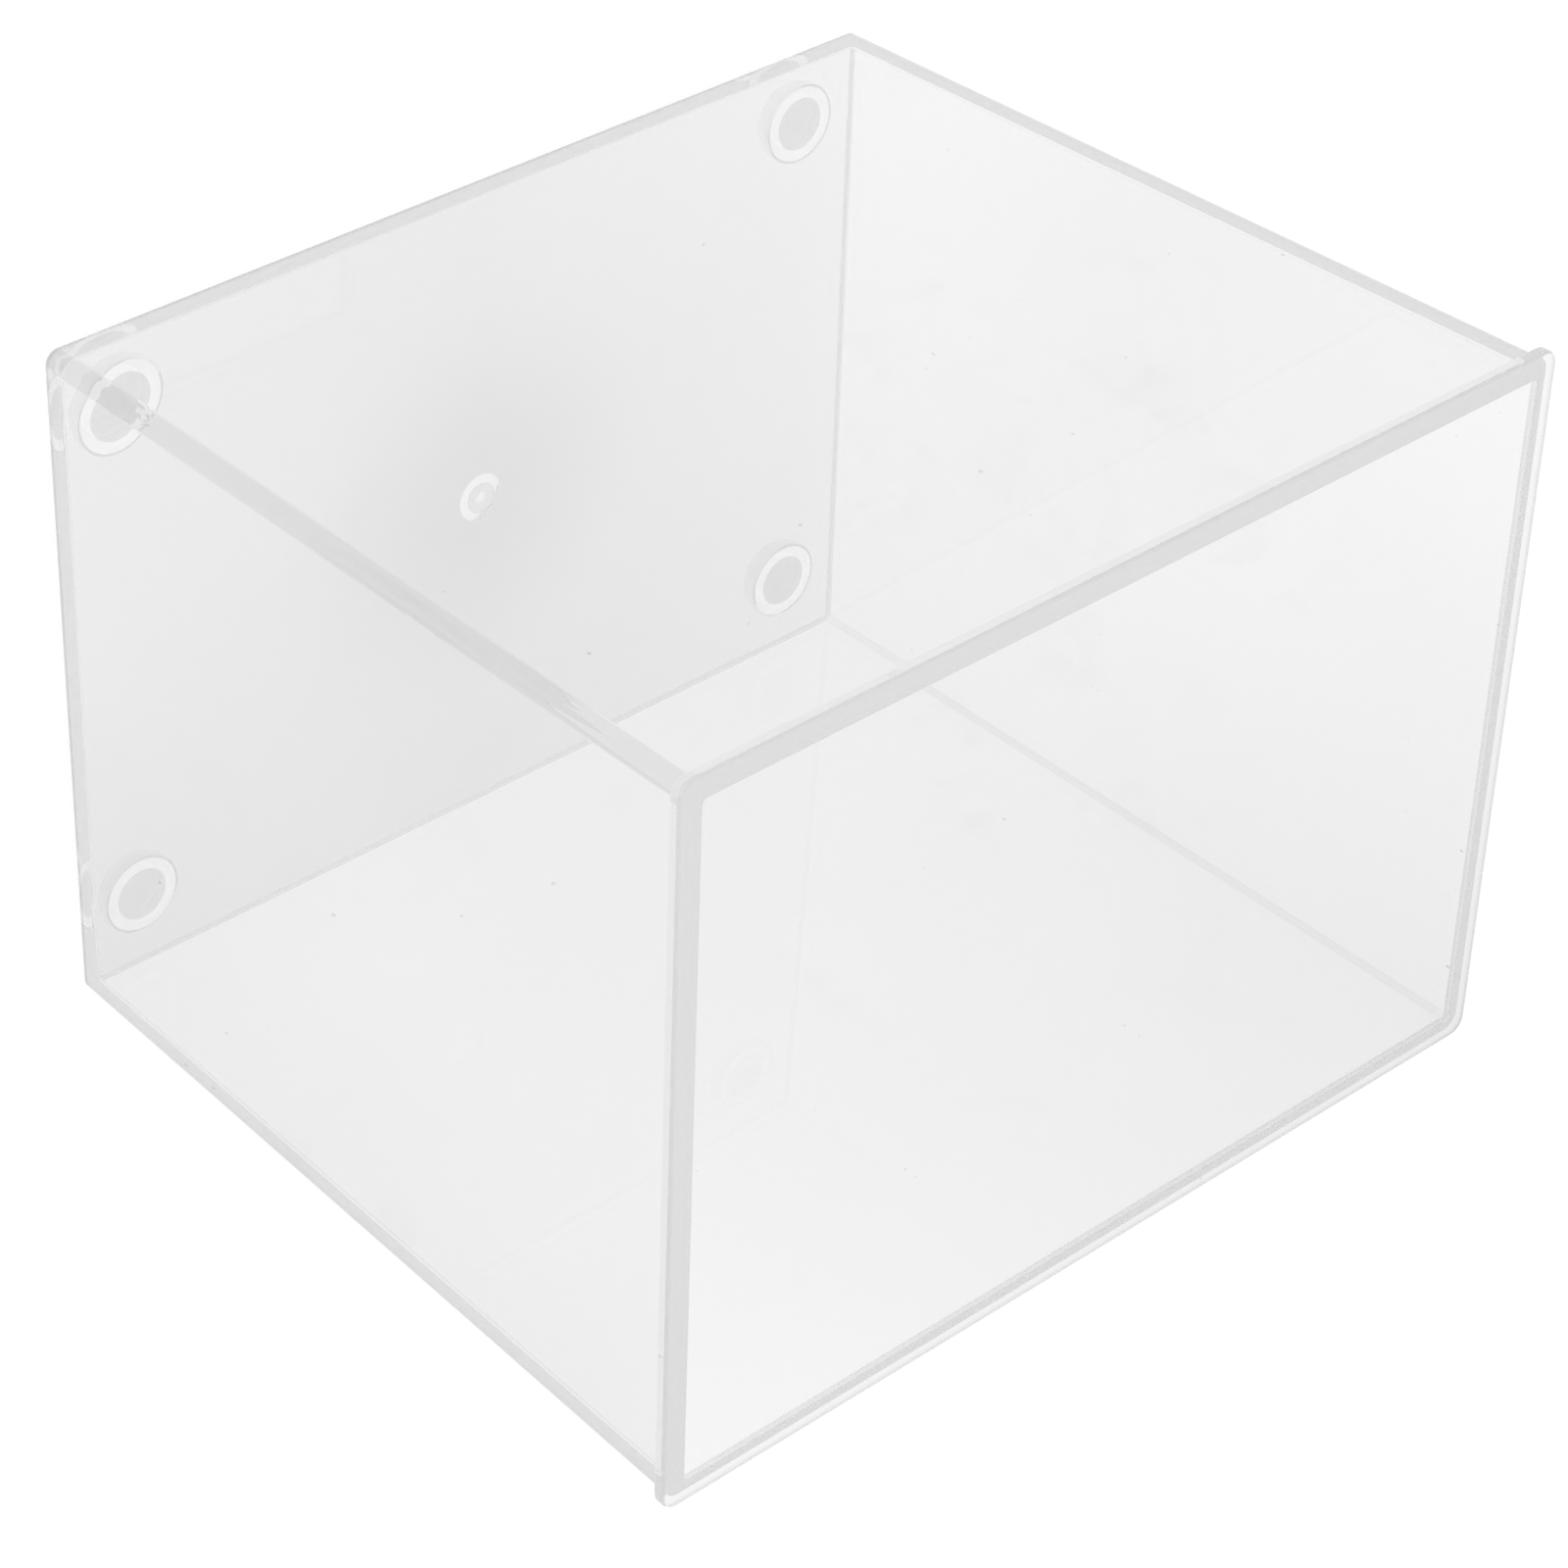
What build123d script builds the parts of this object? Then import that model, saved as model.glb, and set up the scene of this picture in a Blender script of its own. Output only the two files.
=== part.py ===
from build123d import *
from math import radians, tan
import os

os.makedirs("parts", exist_ok=True)

# Clear moulded acrylic display box, open at the top, standing on four stick-on bumper feet.
#
# Frame: +Z runs up from the feet to the open mouth, +X along the long side of the mouth.
# The origin is on the surface the box stands on, under the middle of its base.
# All sizes are in millimetres and all angles in degrees.

# ---- Driving dimensions ------------------------------------------------------------------------

# moulded box
base_length = 145.0          # outside of the base panel, along X
base_width = 105.7           # outside of the base panel, along Y
box_height = 130.0           # outer face of the base panel to the rim
wall = 2.65                  # side walls
base_thickness = 1.9         # base panel
draft = 1.45                 # each wall leans outwards so that the box leaves its mould
corner_radius = 2.2          # upright outside corners
inner_corner_radius = 0.9    # upright inside corners
base_edge_radius = 0.3       # outside edge between the base panel and the walls
floor_edge_radius = 0.8      # inside edge between the base panel and the walls

# rim bead round the mouth
lip_projection = 1.1         # how far the bead stands out from the walls
lip_height = 2.0
lip_corner_radius = 2.7
lip_edge_radius = 0.6
mouth_edge_radius = 0.3      # inside edge of the rim

# gate mark in the middle of the base panel's outer face
gate_dish_radius = 3.85
gate_dish_depth = 0.7
gate_stub_radius = 2.4
gate_stub_height = 0.5       # from the bottom of the dish
gate_stub_edge_radius = 0.15
gate_nub_radius = 0.75       # broken-off tip in the middle of the stub
gate_nub_height = 0.15
gate_nub_taper = 20          # degrees, the tip narrows downwards
gate_root = 0.3              # how far the stub is carried up into the panel

# bumper feet and the adhesive that holds them
foot_radius = 6.35
foot_height = 3.5
foot_land = 0.6              # straight part of the foot's side, next to the adhesive
foot_flat_radius = 4.2       # flat end that rests on the table
adhesive_radius = 6.2
adhesive_thickness = 0.15
foot_pitch_x = 121.4         # between centres
foot_pitch_y = 79.8

# ---- Derived sizes -----------------------------------------------------------------------------

base_z = foot_height + adhesive_thickness
floor_z = base_z + base_thickness
rim_z = base_z + box_height
lip_z = rim_z - lip_height
lean = tan(radians(draft))

cavity_length = base_length - 2 * wall + 2 * base_thickness * lean
cavity_width = base_width - 2 * wall + 2 * base_thickness * lean
lip_length = base_length + 2 * box_height * lean + 2 * lip_projection
lip_width = base_width + 2 * box_height * lean + 2 * lip_projection

dish_sphere_radius = (gate_dish_radius**2 + gate_dish_depth**2) / (2 * gate_dish_depth)
stub_z = base_z + gate_dish_depth - gate_stub_height


def edges_at(edges, height):
    """The edges that lie in the horizontal plane at this height."""
    return edges.filter_by_position(Axis.Z, height, height)


def upright_from(edges, height):
    """The long edges that climb from this height."""
    long_edges = edges.filter_by(lambda edge: edge.bounding_box().size.Z > box_height / 2)
    return long_edges.filter_by(lambda edge: abs(edge.bounding_box().min.Z - height) < wall / 4)


# ---- Display box -------------------------------------------------------------------------------
# One moulding: base panel, four drafted walls, the rim bead and the gate mark.

with BuildPart() as display_box:
    # drafted block with the outside shape of the box
    with BuildSketch(Plane.XY.offset(base_z)):
        Rectangle(base_length, base_width)
    extrude(amount=box_height, taper=-draft)
    fillet(upright_from(display_box.edges(), base_z), radius=corner_radius)
    fillet(edges_at(display_box.edges(), base_z), radius=base_edge_radius)

    # rim bead, with both of its outer edges rounded
    with BuildSketch(Plane.XY.offset(lip_z)):
        RectangleRounded(lip_length, lip_width, lip_corner_radius)
    extrude(amount=lip_height)
    lip_underside = display_box.faces().filter_by(Plane.XY).group_by(Axis.Z)[1][0]
    lip_edges = edges_at(display_box.edges(), rim_z) + lip_underside.outer_wire().edges()
    fillet(lip_edges, radius=lip_edge_radius)

    # cavity left by the core of the mould
    with BuildSketch(Plane.XY.offset(floor_z)):
        Rectangle(cavity_length, cavity_width)
    extrude(amount=rim_z - floor_z, taper=-draft, mode=Mode.SUBTRACT)
    fillet(upright_from(display_box.edges(), floor_z), radius=inner_corner_radius)
    fillet(edges_at(display_box.edges(), floor_z), radius=floor_edge_radius)
    rim_face = display_box.faces().filter_by(Plane.XY).sort_by(Axis.Z)[-1]
    fillet(rim_face.inner_wires()[0].edges(), radius=mouth_edge_radius)

    # dished gate recess in the underside of the base panel
    with Locations((0, 0, base_z + gate_dish_depth - dish_sphere_radius)):
        Sphere(dish_sphere_radius, mode=Mode.SUBTRACT)

    # stub that the gate leaves in the dish, and its broken-off tip
    with BuildSketch(Plane.XY.offset(stub_z)):
        Circle(gate_stub_radius)
    extrude(amount=gate_stub_height + gate_root)
    fillet(edges_at(display_box.edges(), stub_z), radius=gate_stub_edge_radius)
    with BuildSketch(Plane.XY.offset(stub_z)):
        Circle(gate_nub_radius)
    extrude(amount=-gate_nub_height, taper=gate_nub_taper)

display_box.part.label = "display_box"
export_step(display_box.part, "parts/display_box.step")


# ---- Bumper feet and their adhesive discs ------------------------------------------------------
# Each foot is a soft clear bumper with a flat end and a round shoulder. A disc of pressure-sensitive
# adhesive, slightly smaller than the bumper, holds it to the base panel.

foot_places = {
    "front_left": (-foot_pitch_x / 2, -foot_pitch_y / 2),
    "front_right": (foot_pitch_x / 2, -foot_pitch_y / 2),
    "back_left": (-foot_pitch_x / 2, foot_pitch_y / 2),
    "back_right": (foot_pitch_x / 2, foot_pitch_y / 2),
}

for place, (foot_x, foot_y) in foot_places.items():
    foot_axis = Axis((foot_x, foot_y, 0), (0, 0, 1))

    # half section of the foot, turned about its own upright axis
    with BuildPart() as bumper_foot:
        with BuildSketch(Plane.XZ.offset(-foot_y)):
            with BuildLine():
                Polyline(
                    (foot_x + foot_flat_radius, 0),
                    (foot_x, 0),
                    (foot_x, foot_height),
                    (foot_x + foot_radius, foot_height),
                    (foot_x + foot_radius, foot_height - foot_land),
                )
                EllipticalCenterArc(
                    (foot_x + foot_flat_radius, foot_height - foot_land),
                    x_radius=foot_radius - foot_flat_radius,
                    y_radius=foot_height - foot_land,
                    start_angle=270,
                    arc_size=90,
                )
            make_face()
        revolve(axis=foot_axis)

    bumper_foot.part.label = "bumper_foot_" + place
    export_step(bumper_foot.part, "parts/bumper_foot_" + place + ".step")

    with BuildPart() as adhesive_disc:
        with BuildSketch(Plane.XY.offset(foot_height)):
            with Locations((foot_x, foot_y)):
                Circle(adhesive_radius)
        extrude(amount=adhesive_thickness)

    adhesive_disc.part.label = "adhesive_disc_" + place
    export_step(adhesive_disc.part, "parts/adhesive_disc_" + place + ".step")
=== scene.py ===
import math

import bpy
from mathutils import Matrix, Vector


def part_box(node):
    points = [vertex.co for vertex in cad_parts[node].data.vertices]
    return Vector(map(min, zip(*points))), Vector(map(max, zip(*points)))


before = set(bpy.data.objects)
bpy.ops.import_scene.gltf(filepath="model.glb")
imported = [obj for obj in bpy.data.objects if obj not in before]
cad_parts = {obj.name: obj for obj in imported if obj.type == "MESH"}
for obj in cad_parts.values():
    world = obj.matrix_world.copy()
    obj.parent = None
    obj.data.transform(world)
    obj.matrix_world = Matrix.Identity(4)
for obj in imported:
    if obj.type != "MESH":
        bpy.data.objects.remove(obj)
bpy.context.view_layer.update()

MM = 0.001

# ---- Camera -------------------------------------------------------------------------------------
# The box stands on its feet, and the camera is rolled so that the box is seen lying on its side.

CAMERA_AIM = Vector((-3.15, -9.8, 73.57)) * MM
CAMERA_DISTANCE = 682.2 * MM
CAMERA_AZIMUTH = -136.2       # degrees
CAMERA_ELEVATION = 35.94
CAMERA_ROLL = -123.69
CAMERA_LENS = 114.29          # mm, as is the sensor
CAMERA_SENSOR = 36.0
CAMERA_CLIP = (0.01, 20.0)

# ---- Light --------------------------------------------------------------------------------------

FLOOR_HALF = 2.0
FLOOR_HEIGHT = -0.1 * MM
FLOOR_GLOW = 0.95
FLOOR_COLOUR = 0.08
WORLD_STRENGTH = 0.9
LIGHT_BOUNCES = 96
TRANSPARENT_BOUNCES = 32
VOLUME_BOUNCES = 8

# ---- Clear acrylic ------------------------------------------------------------------------------

ACRYLIC_IOR = 1.49
ACRYLIC_ABSORB_AND_GLOW = 60.0           # density of the absorption and of the painted glow, per metre
PAINTED_GLOW_GREY = 0.72              # painted glow: the grey that the plastic settles to where light is trapped in it, standing in for trapped and scattered light

WALL_TINT = 0.955             # 1 is perfectly clear
# painted shade: the two tints below darken the walls towards one corner of the mouth, standing in for
# the shade of the floor seen through them
SHADE_ALONG_X = -0.045         # added to the tint, growing from the middle of the box outwards
SHADE_ALONG_Y = 0.06
# painted shade on the upright corners, more on the left than the right, standing in for light trapped
# and bent in them
CORNER_SHADE_LEFT = 0.84
CORNER_SHADE_RIGHT = 0.93
CORNER_BLEND = 0.01
CORNER_TURN = (0.03, 0.12)    # normal's x times y, where a corner starts and is full

BEAD_HEIGHT = 2.05 * MM
BEAD_X = 75.9 * MM            # the bead stands out beyond this
BEAD_Y = 56.25 * MM
# painted shade on the outer side of the bead, standing in for light trapped in it
BEAD_SHADE = 0.88
BEAD_TOP_NORMAL = 0.9

BASE_SHADE = -0.27             # painted shade added to the tint on the outer face of the base panel, standing in for the shade on the floor under the box
BASE_SHADE_ALONG_X = 0.15
BASE_LOW = 4.4 * MM           # the base panel's outer face and the gate are below this
BASE_HIGH = 4.6 * MM
BAND_TINT = -0.05             # along the base panel's front edge
BAND_WIDTH = 14 * MM

GATE_HALO_TINT = -0.14
GATE_HALO = (3 * MM, 36 * MM)
# painted light and shade at the gate: its dish is left unshaded and its stub gets a dark ring, standing
# in for how the gate's recess bends light
GATE_DISH = (3.6 * MM, 3.9 * MM)
GATE_NUB = (0.8 * MM, 1.0 * MM)
GATE_STUB = (2.3 * MM, 2.6 * MM)
GATE_STUB_SHADE = -0.3

SMUDGE_DEPTH = 0.035
SMUDGE_ROUGHNESS = 0.06
CLOUD_DEPTH = 0.008
RIPPLE = 0.01 * MM
FILLET_LOW = 5.6 * MM         # the fillet round the inside floor is between these heights
FILLET_HIGH = 6.3 * MM
FILLET_SLOPE = 0.08
FILLET_ROUGHNESS = 0.3
FILLET_CLEARNESS = 0.75

# ---- Feet and adhesive --------------------------------------------------------------------------

# painted shade where each foot is glued: a dark middle spot and a dark outline, standing in for the
# shaded end and outline that the foot shows through the base
GLUE_SPOT = (4.0 * MM, 4.25 * MM)
FOOT_SPOT_SHADE = 0.75
GLUE_EDGE = (5.8 * MM, 5.95 * MM)
FOOT_EDGE_SHADE = 0.65
CONTACT = 0.02 * MM           # how near to a glued face's height counts as on it
INSIDE_DISC = 0.9999          # share of the adhesive's radius that is wetted

FOOT_IOR = 1.5
FOOT_ABSORB_AND_GLOW = 30.0              # density of the absorption and of the painted glow, per metre
FOOT_END_HEIGHT = 0.05 * MM
FOOT_END_RADIUS = 4.25 * MM
FOOT_TINT = 0.99
FOOT_END_TINT = 0.97
FOOT_SIDE_ROUGHNESS = 0.5
FOOT_END_ROUGHNESS = 0.1
FOOT_CLEARNESS = 0.82
WEAR = (0.4, 0.7)             # noise values where wear starts and is full
WEAR_TINT = 0.985
WEAR_ROUGHNESS = 0.08

ADHESIVE_IOR = 1.47
ADHESIVE_CLOUD = (0.35, 0.7)
FINE_BUMP = 0.01 * MM
FINE_BUMP_STRENGTH = 0.5


def make_camera():
    azimuth = math.radians(CAMERA_AZIMUTH)
    elevation = math.radians(CAMERA_ELEVATION)
    roll = math.radians(CAMERA_ROLL)
    back = Vector((
        math.sin(azimuth) * math.cos(elevation),
        -math.cos(azimuth) * math.cos(elevation),
        math.sin(elevation),
    ))
    level_right = Vector((0, 0, 1)).cross(back).normalized()
    level_up = back.cross(level_right)
    up = level_up * math.cos(roll) + level_right * math.sin(roll)
    right = up.cross(back)
    data = bpy.data.cameras.new("camera")
    data.sensor_width = CAMERA_SENSOR
    data.lens = CAMERA_LENS
    data.clip_start, data.clip_end = CAMERA_CLIP
    camera = bpy.data.objects.new("camera", data)
    turn = Matrix((right, up, back)).transposed().to_4x4()
    camera.matrix_world = Matrix.Translation(CAMERA_AIM + back * CAMERA_DISTANCE) @ turn
    bpy.context.scene.collection.objects.link(camera)
    bpy.context.scene.camera = camera


# ---- Node helpers -------------------------------------------------------------------------------

class Graph:
    """A material's node tree, with short ways to add the nodes used here."""

    def __init__(self, name):
        self.material = bpy.data.materials.new(name)
        self.material.use_nodes = True
        self.nodes = self.material.node_tree.nodes
        self.links = self.material.node_tree.links
        self.nodes.clear()
        self.place = self.nodes.new("ShaderNodeTexCoord").outputs["Object"]

    def feed(self, socket, value):
        if isinstance(value, bpy.types.NodeSocket):
            self.links.new(value, socket)
        else:
            socket.default_value = value

    def math(self, operation, a, b=0.0):
        node = self.nodes.new("ShaderNodeMath")
        node.operation = operation
        self.feed(node.inputs[0], a)
        self.feed(node.inputs[1], b)
        return node.outputs[0]

    def product(self, *factors):
        result = factors[0]
        for factor in factors[1:]:
            result = self.math("MULTIPLY", result, factor)
        return result

    def total(self, *terms):
        result = terms[0]
        for term in terms[1:]:
            result = self.math("ADD", result, term)
        return result

    def above(self, value, limit):
        """1 where value is above the limit, else 0."""
        return self.math("GREATER_THAN", value, limit)

    def below(self, value, limit):
        """1 where value is below the limit, else 0."""
        return self.math("LESS_THAN", value, limit)

    def ramp(self, value, low, high, start=0.0, end=1.0):
        """Goes smoothly from start to end while value goes from low to high."""
        node = self.nodes.new("ShaderNodeMapRange")
        node.interpolation_type = "SMOOTHSTEP"
        self.feed(node.inputs["Value"], value)
        node.inputs["From Min"].default_value = low
        node.inputs["From Max"].default_value = high
        node.inputs["To Min"].default_value = start
        node.inputs["To Max"].default_value = end
        return node.outputs[0]

    def axes(self, vector):
        node = self.nodes.new("ShaderNodeSeparateXYZ")
        self.links.new(vector, node.inputs[0])
        return node.outputs

    def stretched(self, x, y, z):
        node = self.nodes.new("ShaderNodeVectorMath")
        node.operation = "MULTIPLY"
        self.links.new(self.place, node.inputs[0])
        node.inputs[1].default_value = (x, y, z)
        return node.outputs[0]

    def noise(self, scale, detail, vector=None, distortion=0.0):
        node = self.nodes.new("ShaderNodeTexNoise")
        self.links.new(vector or self.place, node.inputs["Vector"])
        node.inputs["Scale"].default_value = scale
        node.inputs["Detail"].default_value = detail
        node.inputs["Distortion"].default_value = distortion
        return node.outputs["Fac"]

    def cells(self, scale, vector):
        node = self.nodes.new("ShaderNodeTexVoronoi")
        self.links.new(vector, node.inputs["Vector"])
        node.inputs["Scale"].default_value = scale
        return node.outputs["Distance"], node.outputs["Color"]

    def grey(self, value):
        node = self.nodes.new("ShaderNodeCombineColor")
        for socket in node.inputs:
            self.feed(socket, value)
        return node.outputs[0]

    def bump(self, height, distance, strength=1.0):
        node = self.nodes.new("ShaderNodeBump")
        self.links.new(height, node.inputs["Height"])
        node.inputs["Distance"].default_value = distance
        node.inputs["Strength"].default_value = strength
        return node.outputs[0]

    def clear(self, ior):
        """A clear plastic shader."""
        shader = self.nodes.new("ShaderNodeBsdfPrincipled")
        shader.inputs["IOR"].default_value = ior
        shader.inputs["Transmission Weight"].default_value = 1.0
        return shader

    def finish(self, surface, volume=None):
        output = self.nodes.new("ShaderNodeOutputMaterial")
        self.links.new(surface, output.inputs["Surface"])
        if volume:
            self.links.new(volume, output.inputs["Volume"])
        return self.material

    def wetted(self, surface, mask, tint=None):
        """Light goes straight through as much of the surface as the mask says, as where glue wets it."""
        through = self.nodes.new("ShaderNodeBsdfTransparent")
        if tint:
            self.links.new(self.grey(tint), through.inputs["Color"])
        mix = self.nodes.new("ShaderNodeMixShader")
        self.feed(mix.inputs[0], mask)
        self.links.new(surface, mix.inputs[1])
        self.links.new(through.outputs[0], mix.inputs[2])
        return mix.outputs[0]

    def absorb_and_painted_glow(self, density):
        """Painted glow: the plastic absorbs light and also glows by itself, standing in for light
        scattered in it, so light that stays long inside turns an even grey.
        """
        absorb = self.nodes.new("ShaderNodeVolumeAbsorption")
        absorb.inputs["Color"].default_value = (0.0, 0.0, 0.0, 1.0)
        absorb.inputs["Density"].default_value = density
        # painted glow: emission in the plastic, standing in for scattered light
        glow = self.nodes.new("ShaderNodeEmission")
        glow.inputs["Color"].default_value = (1.0, 1.0, 1.0, 1.0)
        glow.inputs["Strength"].default_value = density * PAINTED_GLOW_GREY
        both = self.nodes.new("ShaderNodeAddShader")
        self.links.new(absorb.outputs[0], both.inputs[0])
        self.links.new(glow.outputs[0], both.inputs[1])
        return both.outputs[0]

    def specks(self, scale, size, share, depth):
        """1, falling to depth in round specks, which a share of the cells have."""
        distance, colour = self.cells(scale, self.stretched(1.0, 1.3, 0.8))
        split = self.nodes.new("ShaderNodeSeparateColor")
        self.links.new(colour, split.inputs[0])
        chosen = self.above(split.outputs[0], 1.0 - share)
        spot = self.below(distance, self.product(split.outputs[1], size))
        return self.ramp(self.product(chosen, spot), 0, 1, 1.0, depth)


# ---- Where things are ---------------------------------------------------------------------------

box_low, box_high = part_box("display_box")
disc_low, disc_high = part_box("adhesive_disc_back_right")
DISC_RADIUS = (disc_high[0] - disc_low[0]) / 2
FOOT_X = (disc_high[0] + disc_low[0]) / 2
FOOT_Y = (disc_high[1] + disc_low[1]) / 2


def from_foot(graph):
    """Distance from the axis of the nearest foot, in metres."""
    x, y, z = graph.axes(graph.place)
    dx = graph.math("SUBTRACT", graph.math("ABSOLUTE", x), FOOT_X)
    dy = graph.math("SUBTRACT", graph.math("ABSOLUTE", y), FOOT_Y)
    return graph.math("SQRT", graph.total(graph.product(dx, dx), graph.product(dy, dy)))


def from_gate(graph):
    """Distance from the middle of the base, in metres."""
    node = graph.nodes.new("ShaderNodeVectorMath")
    node.operation = "LENGTH"
    graph.links.new(graph.stretched(1, 1, 0), node.inputs[0])
    return node.outputs["Value"]


def glued(graph, low, high):
    """1 on the faces that the adhesive wets, between two heights."""
    x, y, z = graph.axes(graph.place)
    inside = graph.below(from_foot(graph), DISC_RADIUS * INSIDE_DISC)
    return graph.product(inside, graph.above(z, low - CONTACT), graph.below(z, high + CONTACT))


# ---- Materials ----------------------------------------------------------------------------------

def wall_tint_and_shade(graph):
    """The plastic's tint, with painted shade that makes it a little greyer towards one corner of the
    mouth.
    """
    x, y, z = graph.axes(graph.place)
    left = graph.math("MINIMUM", x, 0.0)
    right = graph.product(graph.math("MAXIMUM", x, 0.0), graph.math("DIVIDE", z, box_high[2]))
    along_x = graph.product(graph.total(left, right), SHADE_ALONG_X / box_high[0])
    along_y = graph.product(y, SHADE_ALONG_Y / box_high[1])
    return graph.total(along_y, graph.total(along_x, WALL_TINT))


def base_painted_shade(graph):
    """Painted shade on the outer face of the base panel, standing in for the shade on the floor under
    the box: greyer, most of all round the gate, with painted light and shade at the gate itself.
    """
    x, y, z = graph.axes(graph.place)
    radius = from_gate(graph)
    halo = graph.ramp(radius, *GATE_HALO, GATE_HALO_TINT, 0.0)
    band = graph.ramp(y, -box_high[1], -box_high[1] + BAND_WIDTH, BAND_TINT, 0.0)
    along_x = graph.product(graph.math("MAXIMUM", x, 0.0), BASE_SHADE_ALONG_X / box_high[0])
    face = graph.total(graph.total(halo, band), graph.total(along_x, BASE_SHADE))
    # painted light in the gate's dish, and a painted dark ring on its stub
    outside_dish = graph.ramp(radius, *GATE_DISH, 0.0, 1.0)
    stub = graph.product(graph.ramp(radius, *GATE_NUB), graph.ramp(radius, *GATE_STUB, 1.0, 0.0))
    face = graph.total(graph.product(face, outside_dish), graph.product(stub, GATE_STUB_SHADE))
    return graph.product(face, graph.ramp(z, BASE_LOW, BASE_HIGH, 1.0, 0.0))


def acrylic():
    graph = Graph("clear_acrylic")
    x, y, z = graph.axes(graph.place)
    normal = graph.nodes.new("ShaderNodeNewGeometry").outputs["Normal"]
    nx, ny, nz = graph.axes(normal)
    shader = graph.clear(ACRYLIC_IOR)
    tint = graph.total(wall_tint_and_shade(graph), base_painted_shade(graph))

    # painted shade: the upright corners look greyer, and so does the outer side of the bead round the
    # mouth, darkened in colour to stand in for light trapped and bent in them
    bead = graph.above(z, box_high[2] - BEAD_HEIGHT)
    corner = graph.ramp(graph.math("ABSOLUTE", graph.product(nx, ny)), *CORNER_TURN)
    corner = graph.product(corner, graph.math("SUBTRACT", 1.0, bead))
    depth = graph.ramp(x, -CORNER_BLEND, CORNER_BLEND, CORNER_SHADE_LEFT - 1.0, CORNER_SHADE_RIGHT - 1.0)
    tint = graph.product(tint, graph.total(graph.product(corner, depth), 1.0))
    beyond_x = graph.above(graph.math("ABSOLUTE", x), BEAD_X)
    beyond_y = graph.above(graph.math("ABSOLUTE", y), BEAD_Y)
    outward = graph.math("MAXIMUM", beyond_y, beyond_x)
    bead_side = graph.product(bead, outward, graph.below(nz, BEAD_TOP_NORMAL))
    tint = graph.product(tint, graph.ramp(bead_side, 0, 1, 1.0, BEAD_SHADE))

    # wiping marks, faint clouding and dust
    wipe = graph.noise(22.0, 3.0, graph.stretched(1.0, 1.0, 0.45), 1.2)
    smudge = graph.noise(85.0, 4.0, None, 0.8)
    marks = graph.product(graph.ramp(wipe, 0.5, 0.75), graph.ramp(smudge, 0.45, 0.7))
    tint = graph.product(tint, graph.ramp(marks, 0, 1, 1.0, 1.0 - SMUDGE_DEPTH))
    cloud = graph.noise(14.0, 2.0)
    tint = graph.product(tint, graph.ramp(cloud, 0.3, 0.7, 1.0 - CLOUD_DEPTH, 1.0 + CLOUD_DEPTH))
    tint = graph.product(tint, graph.specks(260.0, 0.09, 0.05, 0.6))
    tint = graph.product(tint, graph.specks(700.0, 0.12, 0.04, 0.75))
    graph.links.new(graph.grey(tint), shader.inputs["Base Color"])

    # the fillet round the inside floor is less polished than the flat faces
    fillet = graph.product(
        graph.below(z, FILLET_HIGH),
        graph.above(z, FILLET_LOW),
        graph.above(nz, FILLET_SLOPE),
    )
    fillet_rough = graph.ramp(fillet, 0, 1, 0.0, FILLET_ROUGHNESS)
    rough = graph.total(fillet_rough, graph.product(marks, SMUDGE_ROUGHNESS))
    graph.links.new(rough, shader.inputs["Roughness"])
    graph.links.new(graph.bump(graph.noise(30.0, 1.0), RIPPLE), shader.inputs["Normal"])
    surface = graph.wetted(shader.outputs[0], graph.product(fillet, FILLET_CLEARNESS))

    # where the adhesive wets the base light goes straight through, with painted shade darkest in the
    # middle of each foot and at its edge, standing in for the foot's shaded end and outline, and with
    # specks in the glue
    r = from_foot(graph)
    glue = graph.product(
        graph.ramp(r, *GLUE_SPOT, FOOT_SPOT_SHADE, 1.0),
        graph.ramp(r, *GLUE_EDGE, 1.0, FOOT_EDGE_SHADE),
        graph.specks(1500.0, 0.3, 0.06, 0.9),
    )
    surface = graph.wetted(surface, glued(graph, disc_high[2], disc_high[2]), glue)
    return graph.finish(surface, graph.absorb_and_painted_glow(ACRYLIC_ABSORB_AND_GLOW))


def polyurethane():
    graph = Graph("clear_polyurethane")
    x, y, z = graph.axes(graph.place)
    shader = graph.clear(FOOT_IOR)
    end = graph.product(
        graph.below(z, FOOT_END_HEIGHT),
        graph.below(from_foot(graph), FOOT_END_RADIUS),
    )
    worn = graph.noise(900.0, 3.0)
    tint = graph.product(
        graph.ramp(end, 0, 1, FOOT_TINT, FOOT_END_TINT),
        graph.ramp(worn, *WEAR, 1.0, WEAR_TINT),
        graph.specks(1200.0, 0.22, 0.05, 0.85),
    )
    graph.links.new(graph.grey(tint), shader.inputs["Base Color"])
    rough = graph.total(
        graph.ramp(end, 0, 1, FOOT_SIDE_ROUGHNESS, FOOT_END_ROUGHNESS),
        graph.ramp(worn, *WEAR, 0.0, WEAR_ROUGHNESS),
    )
    graph.links.new(rough, shader.inputs["Roughness"])
    graph.links.new(graph.bump(worn, FINE_BUMP, FINE_BUMP_STRENGTH), shader.inputs["Normal"])
    surface = graph.wetted(shader.outputs[0], FOOT_CLEARNESS)
    surface = graph.wetted(surface, glued(graph, disc_low[2], disc_low[2]))
    return graph.finish(surface, graph.absorb_and_painted_glow(FOOT_ABSORB_AND_GLOW))


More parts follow.
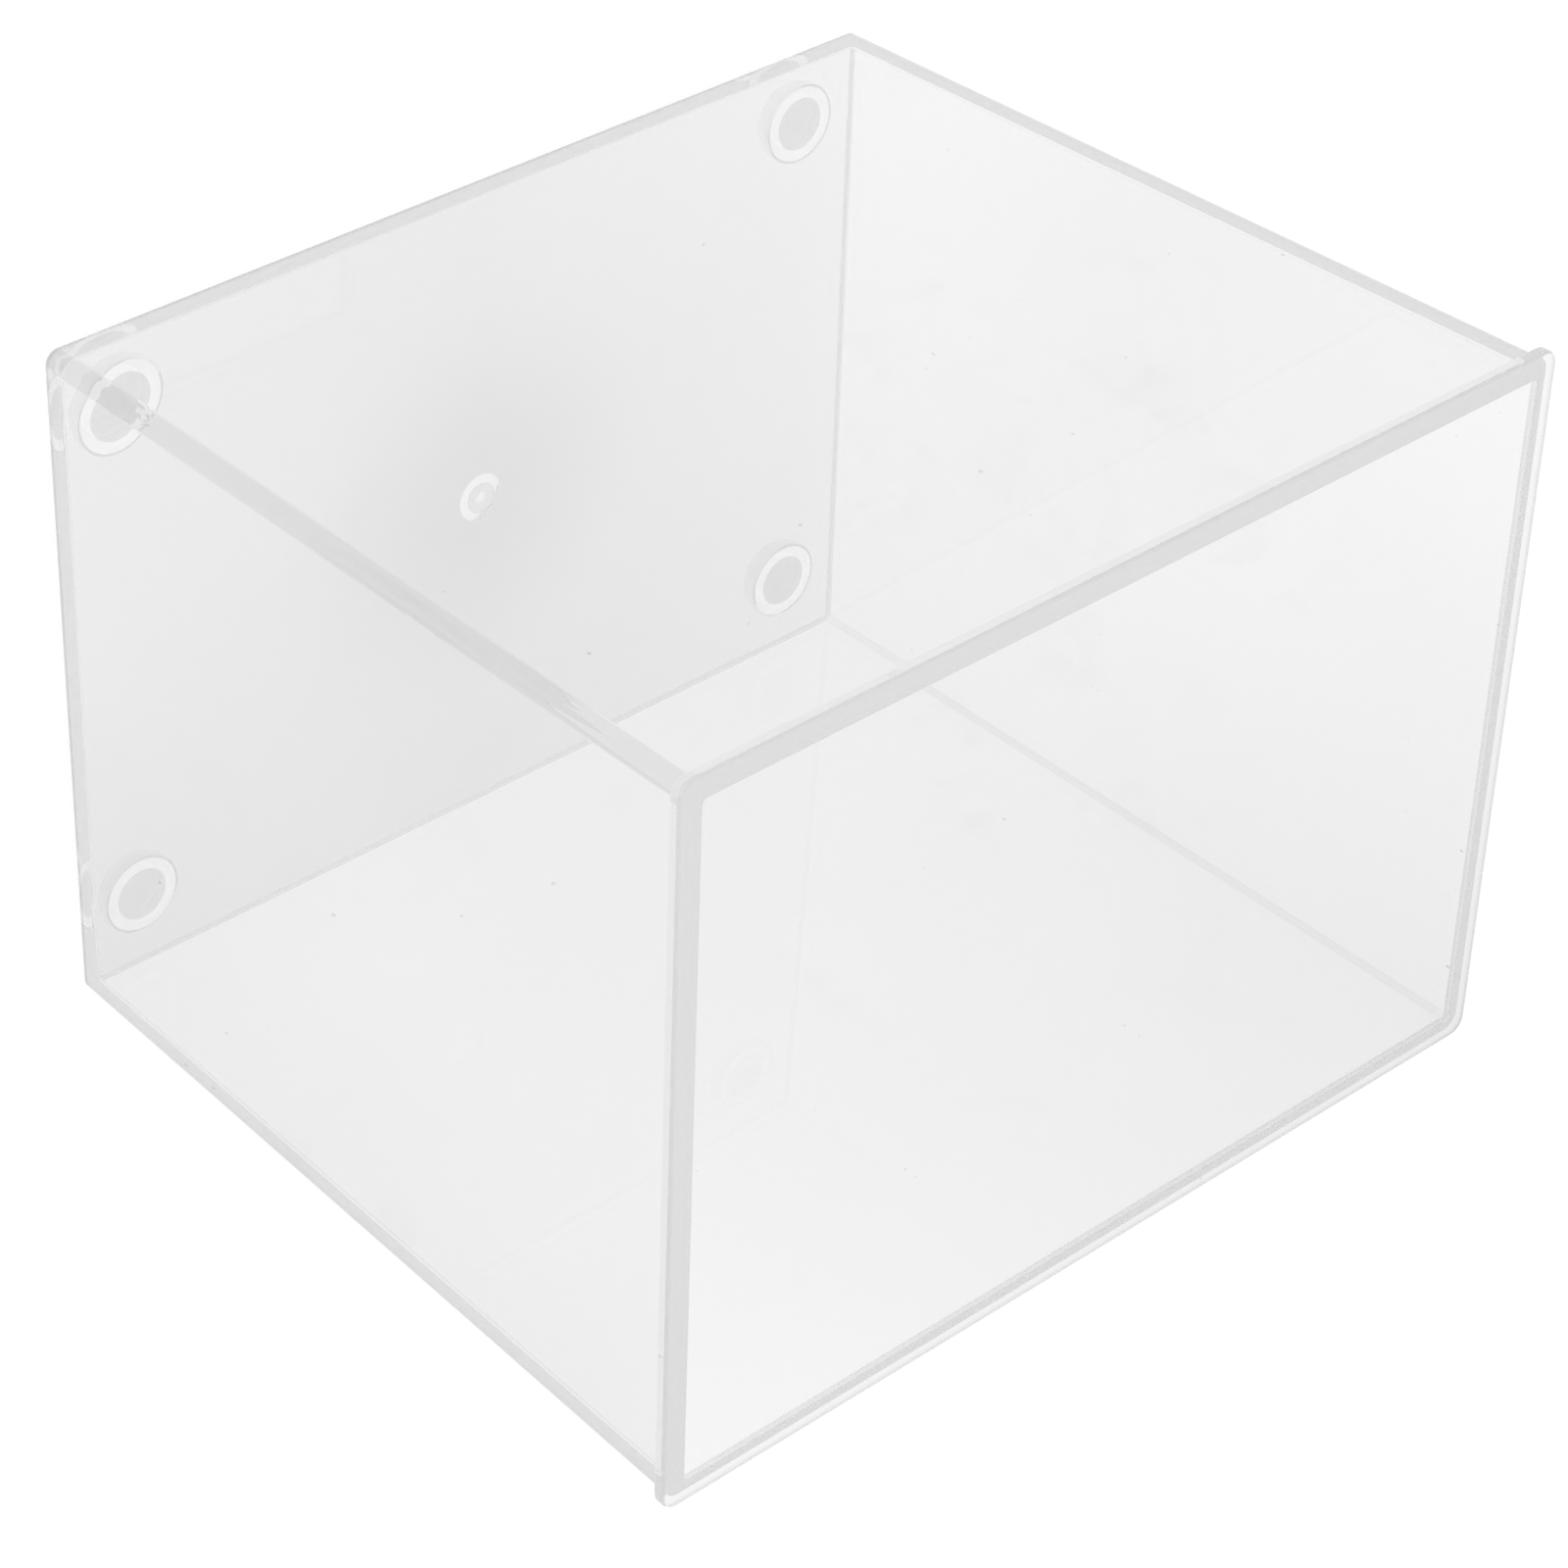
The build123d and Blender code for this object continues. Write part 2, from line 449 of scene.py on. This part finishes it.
def adhesive():
    graph = Graph("clear_adhesive")
    shader = graph.clear(ADHESIVE_IOR)
    cloud = graph.noise(1500.0, 3.0)
    tint = graph.product(
        graph.ramp(cloud, *ADHESIVE_CLOUD, 0.98, 0.93),
        graph.specks(2200.0, 0.3, 0.1, 0.85),
    )
    graph.links.new(graph.grey(tint), shader.inputs["Base Color"])
    graph.links.new(graph.ramp(cloud, *ADHESIVE_CLOUD, 0.05, 0.25), shader.inputs["Roughness"])
    graph.links.new(graph.bump(cloud, FINE_BUMP, FINE_BUMP_STRENGTH), shader.inputs["Normal"])
    return graph.finish(graph.wetted(shader.outputs[0], glued(graph, disc_low[2], disc_high[2])))


MATERIALS = {"display": acrylic(), "bumper": polyurethane(), "adhesive": adhesive()}
for name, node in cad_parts.items():
    for slot in node.material_slots:
        slot.material = MATERIALS[name.split("_")[0]]


# ---- Floor and light ----------------------------------------------------------------------------

def make_floor():
    mesh = bpy.data.meshes.new("floor")
    corners = [(-1, -1), (1, -1), (1, 1), (-1, 1)]
    points = [(x * FLOOR_HALF, y * FLOOR_HALF, FLOOR_HEIGHT) for x, y in corners]
    mesh.from_pydata(points, [], [(0, 1, 2, 3)])
    floor = bpy.data.objects.new("floor", mesh)
    bpy.context.scene.collection.objects.link(floor)
    graph = Graph("pale_floor")
    nodes, links = graph.nodes, graph.links
    diffuse = nodes.new("ShaderNodeBsdfDiffuse")
    diffuse.inputs["Color"].default_value = (FLOOR_COLOUR, FLOOR_COLOUR, FLOOR_COLOUR, 1.0)
    glow = nodes.new("ShaderNodeEmission")
    glow.inputs["Color"].default_value = (1.0, 1.0, 1.0, 1.0)
    glow.inputs["Strength"].default_value = FLOOR_GLOW
    add = nodes.new("ShaderNodeAddShader")
    links.new(diffuse.outputs[0], add.inputs[0])
    links.new(glow.outputs[0], add.inputs[1])
    graph.finish(add.outputs[0])
    mesh.materials.append(graph.material)


def make_world():
    world = bpy.data.worlds.new("studio")
    world.use_nodes = True
    background = world.node_tree.nodes["Background"]
    background.inputs["Color"].default_value = (1.0, 1.0, 1.0, 1.0)
    background.inputs["Strength"].default_value = WORLD_STRENGTH
    bpy.context.scene.world = world


make_camera()
make_floor()
make_world()

scene = bpy.context.scene
scene.view_settings.view_transform = "Standard"
scene.cycles.max_bounces = LIGHT_BOUNCES
scene.cycles.transmission_bounces = LIGHT_BOUNCES
scene.cycles.glossy_bounces = LIGHT_BOUNCES
scene.cycles.transparent_max_bounces = TRANSPARENT_BOUNCES
scene.cycles.volume_bounces = VOLUME_BOUNCES
